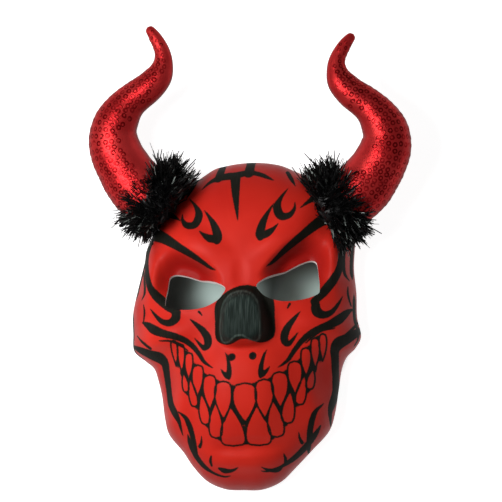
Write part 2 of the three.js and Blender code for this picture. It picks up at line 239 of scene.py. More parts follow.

# Painted shade: darker red that stands in for shade in the sockets, the hollow cheeks, the crown and
# round the rim; its share in each place, and where it fades in or out there
PAINTED_SHADE = dict(socket=0.7, hollow=0.35, crown=0.6, rim=0.65)
SOCKET_FADE = (0.3, 1.1)
CROWN_FADE = (205, 245)
RIM_FADE = (0.8, 1.0)

# Teeth: middle of the round root, tip, half width and, where it isn't the usual one, the place
# of the widest part and how square the root is. The lower ones point upwards.
MIDDLE_TOOTH = ((0.9, 84.5), (0.7, 55.6), 8.5)
UPPER_TEETH = [
    ((14.7, 86.5), (14.6, 57.4), 6.3),
    ((24.8, 91.5), (25, 65.5), 5.1),
    ((34, 99), (34.4, 75.2), 4.5),
    ((41, 108.5), (41.2, 88), 3.2),
    ((47, 115.5), (46.8, 93.5), 2.8),
    ((52, 118.5), (51.5, 99), 2.4),
]
LOWER_TEETH = [
    ((9.3, 38.2), (9.3, 68.4), 9.0, 0.78, 3.1),
    ((22, 44.3), (20.5, 71.5), 5.1),
    ((28.7, 54.5), (31.4, 78.5), 4.0),
    ((36.6, 68), (40.4, 90), 3.2),
    ((43, 79), (45.6, 94), 2.6),
]
TOOTH_BELLY = 0.66
TOOTH_SQUARE = 2.8
TOOTH_STEPS = 10
TOOTH_POINT = 0.02
TOOTH_CURVE = 1.05
TOOTH_LINE = 0.72
TOOTH_GAP = 3.8
# The right half's teeth are spread wider and hang lower
TOOTH_SPREAD = 0.14
TOOTH_DROP = 0.07
SPREAD_FROM = 18.0

# Horn: middle line as out, up, height and radius, for the left horn mirrored to positive x
HORN_LINE = [
    (57, 209, 25, 12), (62.5, 212.5, 30.5, 17.5), (71, 218.5, 35, 21.3), (82, 228, 37, 21.8),
    (92, 242, 39, 20.5), (98.6, 256, 41.5, 19.2), (99.8, 269, 43, 17.6), (95.5, 280.5, 44, 15.6),
    (87, 291.5, 45.2, 12.6), (74, 301.3, 46.7, 11.4), (66, 310, 47.7, 10), (62.8, 320, 48.6, 7.2),
    (64, 329, 49.3, 5.7), (69, 338.5, 49.8, 4.7), (75, 346.5, 50, 2.9),
]
STRETCH_FROM = 219.0
TIP_ROUND = 3.0
HORNS = {
    "left": dict(side=-1, out=0, up=0, stretch=1.0),
    "right": dict(side=1, out=3, up=0.5, stretch=0.955),
}
HORN_STEPS = 24
HORN_SIDES = 72
HORN_RINGS = 150
HORN_GAP = 0.3
HEADING_REACH = 3.0
ROOM_DEPTH = 0.02
# The cloth begins this far along the middle line, inside the ruff
HIDDEN_ROOT = 15.0
# Slack cloth, as a share of the radius, and two waves: strength and pace along the horn
CLOTH_SLACK = 0.0105
LONG_WAVE = (0.6, 0.19)
SHORT_WAVE = (0.4, 0.43)
# Painted shade: the cloth's colour darkens where it faces less upwards than this
PAINTED_SHADE_BELOW = 0.65

# Sequins: rings sewn in staggered rows round the horn
SEQUIN_RADIUS = 2.1
SEQUIN_HOLE = 0.85
SEQUIN_RISE = 0.3
SEQUIN_SIDES = 10
ROW_PITCH = 3.9
SEQUIN_PITCH = 5.0
SEQUIN_STRAY = 0.2
SEQUIN_TILT = 0.04
SMALLEST_SEQUIN = 0.35
FULL_SIZE_RADIUS = 14
LEAST_IN_ROW = 5
FIRST_ROW = 26.0
ROWS_END = 5.0
# Sequins stay on the outer side, and off the shell by a share of its reach or by a height
SEQUIN_EDGE = -0.35
EDGE_STRAY = 0.08
SHELL_CLEAR = (1.02, 2.0)

# Ruffs: clumps of flat tinsel strands on a thick yarn core round the horn's root
CORE_INNER = 16.5
CORE_OUTER = 22.0
CORE_HALF = 10.0
# Lumps of the core: their size, then how many go round and how much they twist
LUMP_SIZE = 0.14
CORE_LUMPS = ((17, 0.6), (29, -0.9))
RUFF_AT = (66.0, 216.5, 36.0)
# Each ruff's axis, how far it is moved out and up, and how much longer its upper strands are
RUFFS = {
    "left": dict(heading=(0.8, 0.6, 0.06), moved=(0.8, 0.4), upward=0.15),
    "right": dict(heading=(0.86, 0.51, 0.06), moved=(-2.6, -1.0), upward=0.08),
}
CLUMPS = 320
CLUMP_STRANDS = 12
STRAND_JOINTS = 5
STRAND_LENGTH = (8.5, 16.0)
LENGTH_SHARE = (0.7, 1.1)
END_GROWTH = 0.14
STRAND_START = (16, 20.5)
STRAND_WIDTH = 1.35
STRAND_FLATNESS = 0.35
STRAND_TAPER = 0.4
STRAND_BEND = 0.13
STRAND_GAP = 1.2
FLOOR_GAP = 0.8
# A clump's splay along the axis: mean and spread, share by how far up it is, and limits
CLUMP_SPLAY = (0.6, 1)
SPLAY_BY_HEIGHT = (0.15, 0.6)
SPLAY_BY_SHIFT = 0.03
SPLAY_LIMITS = (-0.25, 1.1)
CLUMP_SWIRL = 0.22
# How much the strands of one clump differ
OWN_TURN = 0.06
OWN_SHIFT = 1.2
OWN_SPLAY = 0.10
OWN_SWIRL = 0.08
# Clumps that lean inwards on the face's side and close the ring round the horn's root
CLOSING_SHARE = 0.16
CLOSING_BAND = 0.1
CLOSING_OUT = 0.5
CLOSING_SPLAY = -0.1
# Strands near the top and the underside get fewer painted glints
DULLED = 0.06
DULL_WITHIN = 0.45

# Colours, in pairs where they vary from patch to patch
FOAM_RED = ((0.49, 0.017, 0.010), (0.55, 0.022, 0.012))
# Darker red of the painted shade on the face
PAINTED_SHADE_RED = (0.17, 0.001, 0.002)
INK_BLACK = ((0.006, 0.006, 0.004), (0.010, 0.009, 0.006))
# Arch: partly print, partly painted light; ridge: a painted highlight
ARCH_PRINT_AND_LIGHT = ((0.008, 0.013, 0.011), (0.040, 0.056, 0.048))
RIDGE_HIGHLIGHT = (0.060, 0.080, 0.067)
BARE_FOAM = ((0.72, 0.62, 0.60), (0.80, 0.73, 0.71))
SATIN_RED = ((0.35, 0.015, 0.016), (0.47, 0.028, 0.028))
# Darker red of the painted shade on the horns' sides and undersides
SATIN_PAINTED_SHADE = (0.11, 0.002, 0.003)
FOIL_RED = ((0.15, 0.003, 0.004), (0.30, 0.010, 0.012))
METAL_TINT = (0.45, 0.02, 0.03)
# Black yarn, and the pale grey of painted glints on some strands
YARN_AND_GLINT = ((0.003, 0.003, 0.003), (0.24, 0.27, 0.25))
FLOOR_PALE = ((0.42, 0.42, 0.42), (0.46, 0.46, 0.46))
# Painted shadow under the mask, and painted light in the spots under the eye holes
FLOOR_PAINTED_SHADOW = (0.024, 0.032, 0.029)
FLOOR_PAINTED_LIGHT = (0.36, 0.47, 0.44)
WHITE = (1, 1, 1)

# The floor shines a little, like a light table, and has a painted shadow under the mask, but for two
# painted spots of light under the eye holes. Reaches are in metres.
FLOOR_GLOW = 0.92
OPEN_REACH = (0.070, 0.082)
PAINTED_LIGHT_SPOTS = ((-17, 147, 0), (52, 141, 0))
PAINTED_LIGHT_REACH = (0.006, 0.042)

# Lights: place, aim and width in metres, and power in watts
WORLD_STRENGTH = 0.11
LIGHTS = {
    "key_light": dict(place=(-0.54, -0.02, 0.94), aim=(0, 0, 0), size=0.36, power=10.1),
    "horn_light": dict(place=(-0.15, 0.10, 0.36), aim=(-0.09, 0.08, 0.04), size=0.10, power=0.45),
    "fill_light": dict(place=(0.45, -0.20, 1.40), aim=(0, 0, 0), size=0.9, power=0.8),
}

# Camera: place and aim in the mask's plan, turn in degrees
CAMERA_AT = (78.46, 125.0, 996.92)
CAMERA_AIM = (1.30, 183.30, 0.0)
CAMERA_ROLL = 1.0
CAMERA_LENS = 93.17


def quintic_fall(share):
    t = np.clip(share, 0, 1)
    return 1 - t * t * t * (10 - 15 * t + 6 * t * t)


def rising(value, low, high):
    return np.clip((value - low) / (high - low), 0, 1)


def unit(vectors):
    return vectors / np.maximum(np.linalg.norm(vectors, axis=-1, keepdims=True), 1e-9)


def around(across, upright, turn):
    """Directions turned from across towards upright."""
    return across * np.cos(turn)[:, None] + upright * np.sin(turn)[:, None]


def spline_through(points, steps, closed=False):
    """A smooth curve through all the points, with slopes taken from each one's neighbours."""
    places = np.array(points, float)
    if closed:
        padded = np.vstack([places[-1], places, places[:2]])
    else:
        padded = np.vstack([2 * places[0] - places[1], places, 2 * places[-1] - places[-2]])
    curve = []
    for p0, p1, p2, p3 in zip(padded, padded[1:], padded[2:], padded[3:]):
        for step in range(steps):
            t = step / steps
            square = 2 * p0 - 5 * p1 + 4 * p2 - p3
            cube = -p0 + 3 * p1 - 3 * p2 + p3
            curve.append(0.5 * (2 * p1 + (p2 - p0) * t + square * t * t + cube * t ** 3))
    if not closed:
        curve.append(places[-1])
    return np.array(curve)


rim_outline = RIM_RIGHT + [(-x, y) for x, y in reversed(RIM_LEFT)]
rim_line = spline_through(rim_outline, RIM_STEPS, closed=True) - HEART
RIM_ANGLES = np.arctan2(rim_line[:, 1], rim_line[:, 0])
RIM_RADII = np.hypot(rim_line[:, 0], rim_line[:, 1])


def rim_radius(angle):
    return np.interp(angle, RIM_ANGLES, RIM_RADII, period=2 * math.pi)


def form_reach(x, y, form):
    """How far a point is from the middle of a form, 1 at its edge, and its place across it."""
    angle = math.radians(form.get("turn", 0))
    dx = x - form["at"][0]
    dy = y - form["at"][1]
    u = (dx * math.cos(angle) + dy * math.sin(angle)) / form["half"][0]
    v = (-dx * math.sin(angle) + dy * math.cos(angle)) / form["half"][1]
    along = np.clip(u, -1, 1)
    across = np.clip(v, -1, 1)
    square = form.get("square", 2)
    wide = np.abs(u / (1 + form.get("narrow", 0) * across)) ** square
    high = np.abs(v / (1 + form.get("fan", 0) * along)) ** square
    return (wide + high) ** (1 / square), across


def form_rise(x, y, form):
    reach, across = form_reach(x, y, form)
    flat = form.get("flat", 0)
    return form["rise"] * (1 + form.get("lean", 0) * across) * quintic_fall((reach - flat) / (1 - flat))


def side_of(face_x):
    return np.sqrt(face_x * face_x + CENTRE_SOFTNESS * CENTRE_SOFTNESS)


def face_relief(face_x, y):
    rise = 0
    for form in FACE_FORMS.values():
        on_middle = abs(form["at"][0]) < MIDDLE_BAND
        rise = rise + form_rise(face_x if on_middle else side_of(face_x), y, form)
    return rise


def shell_height(x, y, reach):
    dome = np.maximum(0, 1 - reach ** DOME_POWER) ** (1 / DOME_POWER)
    face_x = x + FACE_SWING * (y - HEART[1])
    inside = np.maximum(0, 1 - reach ** RELIEF_POWER) * np.minimum(1, dome / RIM_BLEND)
    return DOME_RISE * dome + face_relief(face_x, y) * inside


def lie(x, y):
    """The lie of the mask moves a point of the straight plan."""
    return y + (FACE_TILT + FACE_TWIST * np.minimum(y, TWIST_TOP)) * x


def straight(x, y):
    """The straight plan's y of a point of the mask as it lies."""
    plain = y
    for _ in range(6):
        plain = y - (FACE_TILT + FACE_TWIST * np.minimum(plain, TWIST_TOP)) * x
    return plain


def from_heart(reach, angle):
    radius = reach * rim_radius(angle)
    return HEART[0] + radius * np.cos(angle), HEART[1] + radius * np.sin(angle)


def on_disc(a, b):
    """Reach and angle of a square grid's shares, from -1 to 1, and which are on the rim."""
    u = a * np.sqrt(1 - b * b / 2)
    v = b * np.sqrt(1 - a * a / 2)
    on_rim = np.maximum(np.abs(a), np.abs(b)) > 1 - 1e-6
    reach = np.where(on_rim, 1, 1 - (1 - np.minimum(np.hypot(u, v), 1)) ** EDGE_CROWD)
    return reach, np.arctan2(v, u), on_rim


def shell_points(a, b):
    """Points of the shell's outside from grid shares."""
    reach, angle, on_rim = on_disc(a, b)
    x, y = from_heart(reach, angle)
    return np.column_stack([x, lie(x, y), np.where(on_rim, 0, shell_height(x, y, reach))])


def rim_points(angle):
    x, y = from_heart(1, angle)
    return np.column_stack([x, lie(x, y)])


def shell_normals(a, b):
    """The outside's directions, level at the rim."""
    step = NORMAL_STEP
    along_a = shell_points(np.clip(a + step, -1, 1), b) - shell_points(np.clip(a - step, -1, 1), b)
    along_b = shell_points(a, np.clip(b + step, -1, 1)) - shell_points(a, np.clip(b - step, -1, 1))
    normals = np.cross(along_a, along_b)
    _, angle, on_rim = on_disc(a, b)
    along_rim = rim_points(angle[on_rim] + step) - rim_points(angle[on_rim] - step)
    normals[on_rim] = np.column_stack([along_rim[:, 1], -along_rim[:, 0], 0 * along_rim[:, 0]])
    return unit(normals)


def shell_over(x, y):
    """Height of the shell's outside over a point of the mask as it lies, and how far out it is."""
    plain = straight(x, y)
    dx = x - HEART[0]
    dy = plain - HEART[1]
    reach = np.hypot(dx, dy) / rim_radius(np.arctan2(dy, dx))
    return shell_height(x, plain, np.minimum(reach, 1)), reach


def face_to_plan(face_x, y):
    x = face_x - FACE_SWING * (y - HEART[1])
    return x, lie(x, y)


def plan_to_face(points):
    y = straight(points[:, 0], points[:, 1])
    return points[:, 0] + FACE_SWING * (y - HEART[1]), y


shares = np.linspace(-1, 1, CAD_GRID + 1)
grid_a, grid_b = (values.ravel() for values in np.meshgrid(shares, shares))
SHIFT = np.array(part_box("mask_shell")[0]) / METRES - shell_points(grid_a, grid_b).min(axis=0)


def to_frame(points):
    """From the mask's plan in millimetres to the frame in metres."""
    return (np.asarray(points, float) + SHIFT) * METRES


def to_plan(points):
    return np.asarray(points, float) / METRES - SHIFT


def mesh_points(mesh, kind="co"):
    flat = np.empty(len(mesh.vertices) * 3, np.float32)
    mesh.vertices.foreach_get(kind, flat)
    return flat.reshape(-1, 3).astype(float)


def place_points(mesh, points):
    mesh.vertices.foreach_set("co", to_frame(points).astype(np.float32).ravel())
    mesh.update()


def write_values(mesh, name, values):
    layer = mesh.attributes.new(name, "FLOAT", "POINT")
    layer.data.foreach_set("value", np.asarray(values, np.float32))


def named(piece, name):
    piece.name = name
    piece.data.name = name
    return piece


def only(piece):
    bpy.ops.object.select_all(action="DESELECT")
    bpy.context.view_layer.objects.active = piece
    piece.select_set(True)


def edit(piece):
    only(piece)
    bpy.ops.object.mode_set(mode="EDIT")
    bpy.ops.mesh.select_all(action="SELECT")


def leave_edit():
    bpy.ops.object.mode_set(mode="OBJECT")


def select_open_edges():
    bpy.ops.mesh.select_all(action="DESELECT")
    bpy.ops.mesh.select_mode(type="EDGE")
    bpy.ops.mesh.select_non_manifold()


def close_faces(**rule):
    """Cuts all faces into triangles, turns them outwards and leaves edit mode."""
    bpy.ops.mesh.select_all(action="SELECT")
    bpy.ops.mesh.quads_convert_to_tris(**rule)
    bpy.ops.mesh.normals_make_consistent(inside=False)
    leave_edit()


def wear(piece, *materials):
    piece.data.materials.clear()
    for material in materials:
        piece.data.materials.append(material)


def use_material(piece, index):
    piece.data.polygons.foreach_set("material_index", [index] * len(piece.data.polygons))


def smooth(piece, degrees):
    only(piece)
    bpy.ops.object.shade_smooth_by_angle(angle=math.radians(degrees))


def remove(piece):
    bpy.data.objects.remove(piece, do_unlink=True)


def cut(piece, cutter):
    only(piece)
    step = piece.modifiers.new("cut", "BOOLEAN")
    step.operation = "DIFFERENCE"
    step.solver = "MANIFOLD"
    step.object = cutter
    bpy.ops.object.modifier_apply(modifier=step.name)


# Materials
def start_material(name):
    material = bpy.data.materials.new(name)
    material.use_nodes = True
    tree = material.node_tree
    return material, tree, tree.nodes["Principled BSDF"]


def put_in(tree, node, inputs):
    """Gives a node's inputs numbers, colours or places, or other nodes' outputs."""
    for name, value in inputs.items():
        socket = node.inputs[name]
        if isinstance(value, (int, float)):
            socket.default_value = value
        elif isinstance(value, tuple):
            socket.default_value = (*value, 1)[:len(socket.default_value)]
        else:
            tree.links.new(value, socket)


def add_node(tree, kind, output, inputs, **settings):
    """Makes a node of the shader with its settings and inputs, and gives one output."""
    node = tree.nodes.new("ShaderNode" + kind)
    for name, value in settings.items():
        setattr(node, name, value)
    put_in(tree, node, inputs)
    return node.outputs[output]


def coordinate(tree, kind="Object"):
    return add_node(tree, "TexCoord", kind, {})


def attribute(tree, name):
    return add_node(tree, "Attribute", "Fac", {}, attribute_name=name)


def math_node(tree, operation, *values):
    return add_node(tree, "Math", 0, dict(enumerate(values)), operation=operation)


def ranged(tree, value, low, high, to_low=0.0, to_high=1.0):
    inputs = {"Value": value, "From Min": low, "From Max": high, "To Min": to_low, "To Max": to_high}
    return add_node(tree, "MapRange", "Result", inputs, interpolation_type="SMOOTHSTEP")


def mixed(tree, share, first, second):
    return add_node(tree, "Mix", 2, {0: share, 6: first, 7: second}, data_type="RGBA")


def noise(tree, place, scale, detail=2, stretch=(1, 1, 1)):
    place = add_node(tree, "Mapping", "Vector", {"Vector": place, "Scale": stretch})
    return add_node(tree, "TexNoise", "Fac", {"Vector": place, "Scale": scale, "Detail": detail})


def patchy(tree, place, scale, detail=3):
    return ranged(tree, noise(tree, place, scale, detail), 0.3, 0.7)


def distance_from(tree, place, point):
    inputs = {0: place, 1: tuple(to_frame(point))}
    return add_node(tree, "VectorMath", "Value", inputs, operation="DISTANCE")


def bumped(tree, height, strength, distance):
    inputs = {"Height": height, "Strength": strength, "Distance": distance}
    return add_node(tree, "Bump", "Normal", inputs)


def printed_foam():
    """Red laminated foam with black print, read from the shell's own values."""
    material, tree, shader = start_material("printed_foam")
    place = coordinate(tree)
    ragged = noise(tree, place, 900, 2)
    ragged = math_node(tree, "MULTIPLY", math_node(tree, "SUBTRACT", ragged, 0.5), INK_RAGGED)
    distance = math_node(tree, "MINIMUM", attribute(tree, "ink"), attribute(tree, "tooth_ink"))
    distance = math_node(tree, "ADD", distance, ragged)
    ink = ranged(tree, distance, -INK_SOFTNESS, INK_SOFTNESS, 1, 0)
    red = mixed(tree, patchy(tree, place, 22), *FOAM_RED)
    # Painted shade: darker red mixed in by each point's share of it
    red = mixed(tree, attribute(tree, "painted_shade"), red, PAINTED_SHADE_RED)
    brushed = ranged(tree, noise(tree, place, 260, 3, stretch=(4, 0.25, 1)), 0.35, 0.75)
    black = mixed(tree, brushed, *INK_BLACK)
    height = add_node(tree, "SeparateXYZ", "Y", {"Vector": place})
    upper = ranged(tree, height, *STREAK_RANGE, 0.2, 1)
    # The arch's pale grey: partly print, partly painted light on the nose's front
    pale = mixed(tree, math_node(tree, "MULTIPLY", upper, brushed), *ARCH_PRINT_AND_LIGHT)
    nose_edge = attribute(tree, "nose_arch")
    arch = ranged(tree, nose_edge, -ARCH_SOFTNESS, ARCH_SOFTNESS, 1, 0)
    black = mixed(tree, arch, black, pale)
    # The ridge round the arch: a painted highlight
    ridge = math_node(tree, "ABSOLUTE", math_node(tree, "ADD", nose_edge, RIDGE_INSIDE))
    streaks = ranged(tree, brushed, 0, 1, 0.4, 1)
    ridge = math_node(tree, "MULTIPLY", ranged(tree, ridge, 0, RIDGE_WIDTH, 1, 0), streaks)
    black = mixed(tree, ridge, black, RIDGE_HIGHLIGHT)
    rough = ranged(tree, noise(tree, place, 140, 3), 0.2, 0.8, 0.40, 0.50)
    put_in(tree, shader, {
        "Base Color": mixed(tree, ink, red, black),
        "Roughness": math_node(tree, "MAXIMUM", rough, ranged(tree, ink, 0, 1, 0, 0.7)),
        "Specular IOR Level": 0.07,
        "Normal": bumped(tree, noise(tree, place, 1500, 3), 0.25, 0.0002),
    })
    return material


def raw_foam():
    material, tree, shader = start_material("raw_foam")
    place = coordinate(tree)
    cells = add_node(tree, "TexVoronoi", "Distance", {"Vector": place, "Scale": 1400})
    put_in(tree, shader, {
        "Base Color": mixed(tree, patchy(tree, place, 60), *BARE_FOAM),
        "Roughness": 0.85,
        "Normal": bumped(tree, cells, 0.4, 0.0003),
    })
    return material


def satin_cloth():
    material, tree, shader = start_material("horn_satin")
    place = coordinate(tree)
    colour = mixed(tree, patchy(tree, place, 45), *SATIN_RED)
    weave = noise(tree, coordinate(tree, "UV"), 1, 1, stretch=(260, 340, 1))
    put_in(tree, shader, {
        # Painted shade: darker red where the cloth faces less upwards
        "Base Color": mixed(tree, attribute(tree, "under"), colour, SATIN_PAINTED_SHADE),
        "Roughness": ranged(tree, noise(tree, place, 500, 3), 0.25, 0.75, 0.35, 0.49),
        "Metallic": 0.62,
        "Specular Tint": METAL_TINT,
        "Normal": bumped(tree, weave, 0.35, 0.0002),
    })
    return material


def sequin_foil():
    material, tree, shader = start_material("sequin_foil")
    tone = ranged(tree, attribute(tree, "tone"), 0, 1)
    put_in(tree, shader, {
        "Base Color": mixed(tree, tone, *FOIL_RED),
        "Roughness": 0.34,
        "Metallic": 0.75,
        "Specular Tint": METAL_TINT,
    })
    return material


def tinsel_yarn():
    material, tree, shader = start_material("tinsel_yarn")
    # Painted glints: the strands with the highest tones turn pale grey
    painted_glint = ranged(tree, attribute(tree, "tone"), 0.93, 1.0)
    colour = mixed(tree, painted_glint, *YARN_AND_GLINT)
    put_in(tree, shader, {"Base Color": colour, "Roughness": 0.42, "Specular IOR Level": 0.2})
    return material


def pale_floor():
    material, tree, shader = start_material("pale_floor")
    place = coordinate(tree)
    open_floor = ranged(tree, distance_from(tree, place, (*HEART, 0)), *OPEN_REACH)
    # Painted shadow under the mask, lightened by two painted spots of light under the eye holes
    lit = [
        ranged(tree, distance_from(tree, place, spot), *PAINTED_LIGHT_REACH, 1, 0)
        for spot in PAINTED_LIGHT_SPOTS
    ]
    shade = mixed(tree, math_node(tree, "MAXIMUM", *lit), FLOOR_PAINTED_SHADOW, FLOOR_PAINTED_LIGHT)
    pale = mixed(tree, patchy(tree, place, 30, 4), *FLOOR_PALE)
    put_in(tree, shader, {
        "Base Color": mixed(tree, open_floor, shade, pale),
        "Roughness": 0.8,
        "Emission Color": WHITE,
        "Emission Strength": math_node(tree, "MULTIPLY", open_floor, FLOOR_GLOW),
    })
    return material


# Print
def slide(y):
    return PRINT_SLIDE * np.exp(-(((y - SLIDE_AT) / SLIDE_SPREAD) ** 2))


def near_to(x, y, line, reach):
    """Which points are inside the line's box, grown by the reach."""
    low = line.min(axis=0) - reach
    high = line.max(axis=0) + reach
    return np.flatnonzero((x > low[0]) & (x < high[0]) & (y > low[1]) & (y < high[1]))


def from_segment(points, start, end):
    """Each point's distance from a segment, and its share along it."""
    span = end - start
    share = np.clip((points - start) @ span / max(span @ span, 1e-9), 0, 1)
    return np.linalg.norm(points - start - share[:, None] * span, axis=1), share


def stroke_distance(x, y, stroke, nearest):
    """Keeps in nearest each point's signed distance from the stroke's edge, if it is less."""
    line = spline_through(stroke, STROKE_STEPS)
    near = near_to(x, y, line[:, :2], INK_FAR + line[:, 2].max())
    points = np.column_stack([x[near], y[near]])
    for start, end in zip(line, line[1:]):
        gap, share = from_segment(points, start[:2], end[:2])
        gap -= start[2] + share * (end[2] - start[2])
        nearest[near] = np.minimum(nearest[near], gap)


def signed_distance(x, y, outline):
    """Distance from a closed outline, less than zero inside."""
    points = np.column_stack([x, y])
    nearest = np.full(len(points), np.inf)
    inside = np.zeros(len(points), bool)
    for start, end in zip(outline, np.roll(outline, -1, axis=0)):
        nearest = np.minimum(nearest, from_segment(points, start, end)[0])
        crosses = (start[1] > y) != (end[1] > y)
        run, rise = end - start
        inside ^= crosses & (x < start[0] + (y - start[1]) / (rise or 1e-9) * run)
    return np.where(inside, -nearest, nearest)


def tooth_outline(root, tip, half, belly=TOOTH_BELLY, square=TOOTH_SQUARE):
    """A tooth from its point to its round root, widest past the middle."""
    root, tip = np.array([root, tip], float)
    along = root - tip
    across = np.array([along[1], -along[0]]) / np.linalg.norm(along)
    below = np.linspace(TOOTH_POINT, belly, TOOTH_STEPS)
    above = np.linspace(belly, 1, TOOTH_STEPS - 1)[1:]
    shares = np.concatenate([below, above])
    growing = np.sin(np.minimum(shares / belly, 1) * math.pi / 2) ** TOOTH_CURVE
    past = np.maximum(shares - belly, 0) / (1 - belly)
    rounding = np.maximum(1 - past ** square, 0) ** (1 / square)
    widths = half * growing * rounding
    middle = tip + shares[:, None] * along
    aside = widths[:, None] * across
    return np.vstack([tip, middle + aside, (middle - aside)[::-1][1:]])


def slid(points, side):
    placed = np.array(points, float)
    placed[:, 0] = side * placed[:, 0] + slide(placed[:, 1])
    return placed


def nose_outline(profile, middle):
    line = spline_through([(half, y) for y, half in profile], OUTLINE_STEPS)
    right = line + (middle, 0)
    left = line[::-1] * (-1, 1) + (middle, 0)
    return np.vstack([right, left])


def ink_distance(x, y, reach):
    """Distance from the edge of the strokes, the nose's field and the line at the rim."""
    nearest = np.full(len(x), INK_FAR)
    for stroke in MIDDLE_STROKES.values():
        stroke_distance(x, y, stroke, nearest)
    for name, stroke in SIDE_STROKES.items():
        for side, move in zip((-1, 1), STROKE_MOVES.get(name, ((0, 0), (0, 0)))):
            moved = np.array(stroke, float) + (*move, 0)
            if side > 0:
                moved[:, 0] += RIGHT_LEANS.get(name, 0) * (moved[0, 1] - moved[:, 1])
            stroke_distance(x, y, slid(moved, side), nearest)
    nearest = np.minimum(nearest, signed_distance(x, y, nose_outline(NOSE_FIELD, NOSE_MIDDLE)))
    for side in (-1, 1):
        nostril_x = NOSTRIL_MIDDLE + side * NOSTRIL_AT[0]
        nearest = np.minimum(nearest, np.hypot(x - nostril_x, y - NOSTRIL_AT[1]) - NOSTRIL_INK)
    rim_y, rim_half = np.array(RIM_LINE).T
    rim = np.abs(reach - RIM_LINE_REACH) * RIM_LINE_SCALE - np.interp(y, rim_y, rim_half)
    return np.clip(np.minimum(nearest, rim), -INK_FAR, INK_FAR)


def tooth_ink(x, y):
    """Distance from the teeth's black lines, which also fill the narrow gaps between teeth."""
    outlines = [tooth_outline(*MIDDLE_TOOTH)]
    for side in (-1, 1):
        for tooth in UPPER_TEETH + LOWER_TEETH:
            outline = tooth_outline(*tooth)
            if side > 0:
                outline[:, 0] += TOOTH_SPREAD * np.maximum(outline[:, 0] - SPREAD_FROM, 0)
                outline[:, 1] -= TOOTH_DROP * np.maximum(outline[:, 0] - SPREAD_FROM, 0)
            outline[:, 0] *= side
            outlines.append(outline)
    nearest = np.full(len(x), INK_FAR)
    second = np.full(len(x), INK_FAR)
    inside = np.zeros(len(x), bool)
    for outline in outlines:
        outline[:, 0] += slide(outline[:, 1]) * TOOTH_SLIDE
        near = near_to(x, y, outline, INK_FAR)
        gap = signed_distance(x[near], y[near], outline)
        inside[near] |= gap < 0
        gap = np.abs(gap)
        second[near] = np.minimum(second[near], np.maximum(nearest[near], gap))
        nearest[near] = np.minimum(nearest[near], gap)
    filled = np.where(inside, INK_FAR, (nearest + second - TOOTH_GAP) / 2)
    return np.minimum(nearest - TOOTH_LINE, filled)


def painted_shade_share(x, y, reach):
    """Painted shade: darker red in the sockets, the hollow cheeks, the crown and round the rim."""
    sides = side_of(x)
    socket, _ = form_reach(sides, y, FACE_FORMS["socket"])
    hollow, _ = form_reach(sides, y, FACE_FORMS["cheek hollow"])
    shares = [
        PAINTED_SHADE["socket"] * quintic_fall(rising(socket, *SOCKET_FADE)),
        PAINTED_SHADE["hollow"] * quintic_fall(hollow),
        PAINTED_SHADE["crown"] * rising(y, *CROWN_FADE),
        PAINTED_SHADE["rim"] * rising(reach, *RIM_FADE),
    ]
    return np.max(shares, axis=0)


# Shell
def shell_grid(counts, offset=0):
    bpy.ops.mesh.primitive_grid_add(x_subdivisions=counts[0], y_subdivisions=counts[1], size=2)
    piece = bpy.context.object
    a, b, _ = np.clip(mesh_points(piece.data), -1, 1).T
    points = shell_points(a, b)
    if offset:
        points = points + offset * shell_normals(a, b)
    place_points(piece.data, points)
    return piece


def prism_through_shell(outline, slant):
    """A cutter whose sides lean, so that the outline is true on the shell's outside."""
    bpy.ops.mesh.primitive_circle_add(vertices=len(outline), radius=1, fill_type="NGON")
    cutter = named(bpy.context.object, "hole_cutter")
    x, y = face_to_plan(outline[:, 0], outline[:, 1])
    z, _ = shell_over(x, y)
    low = np.column_stack([x, y - slant * CUTTER_REACH, z - CUTTER_REACH])
    high = np.column_stack([x, y + slant * CUTTER_REACH, z + CUTTER_REACH])
    edit(cutter)
    bpy.ops.mesh.extrude_region_move(TRANSFORM_OT_translate={"value": (0, 0, 1)})
    leave_edit()
    starts = mesh_points(cutter.data)
    angles = np.arctan2(starts[:, 1], starts[:, 0])
    order = np.round((angles / (2 * math.pi)) * len(outline)).astype(int) % len(outline)
    upper = starts[:, 2] > 0.5
    place_points(cutter.data, np.where(upper[:, None], high[order], low[order]))
    edit(cutter)
    close_faces()
    return cutter


def make_shell(print_material, foam_material):
    """The printed outside and the bare inside, joined round the rim."""
    outside = shell_grid(OUTSIDE_GRID)
    inside = shell_grid(INSIDE_GRID, -WALL)
    edit(inside)
    bpy.ops.mesh.flip_normals()
    leave_edit()
    for piece, index in ((outside, 0), (inside, 1)):
        wear(piece, print_material, foam_material)
        use_material(piece, index)
    only(outside)
    inside.select_set(True)
    bpy.ops.object.join()
    shell = named(bpy.context.object, "printed_shell")
    edit(shell)
    select_open_edges()
    bpy.ops.mesh.bridge_edge_loops()
    close_faces(quad_method="SHORTEST_DIAGONAL")
    return shell


def cut_holes(shell):
    """Cuts the eye holes, whose walls show bare foam, and the printed nostril holes."""
    eye = spline_through(EYE_HOLE, OUTLINE_STEPS, closed=True)
    turns = 2 * math.pi * np.arange(NOSTRIL_SIDES) / NOSTRIL_SIDES
    ring = NOSTRIL_RADIUS * np.column_stack([np.cos(turns), np.sin(turns)])
    for side in (-1, 1):
        hole = eye if side > 0 else eye[::-1] * (-1, 1)
        nostril = ring + (NOSTRIL_MIDDLE + side * NOSTRIL_AT[0], NOSTRIL_AT[1])
        for outline, slant, wall_slot in ((hole, HOLE_SLANT, 1), (nostril, 0, 0)):
            cutter = prism_through_shell(outline, slant)
            wear(cutter, *shell.data.materials)
            use_material(cutter, wall_slot)
            cut(shell, cutter)
            remove(cutter)


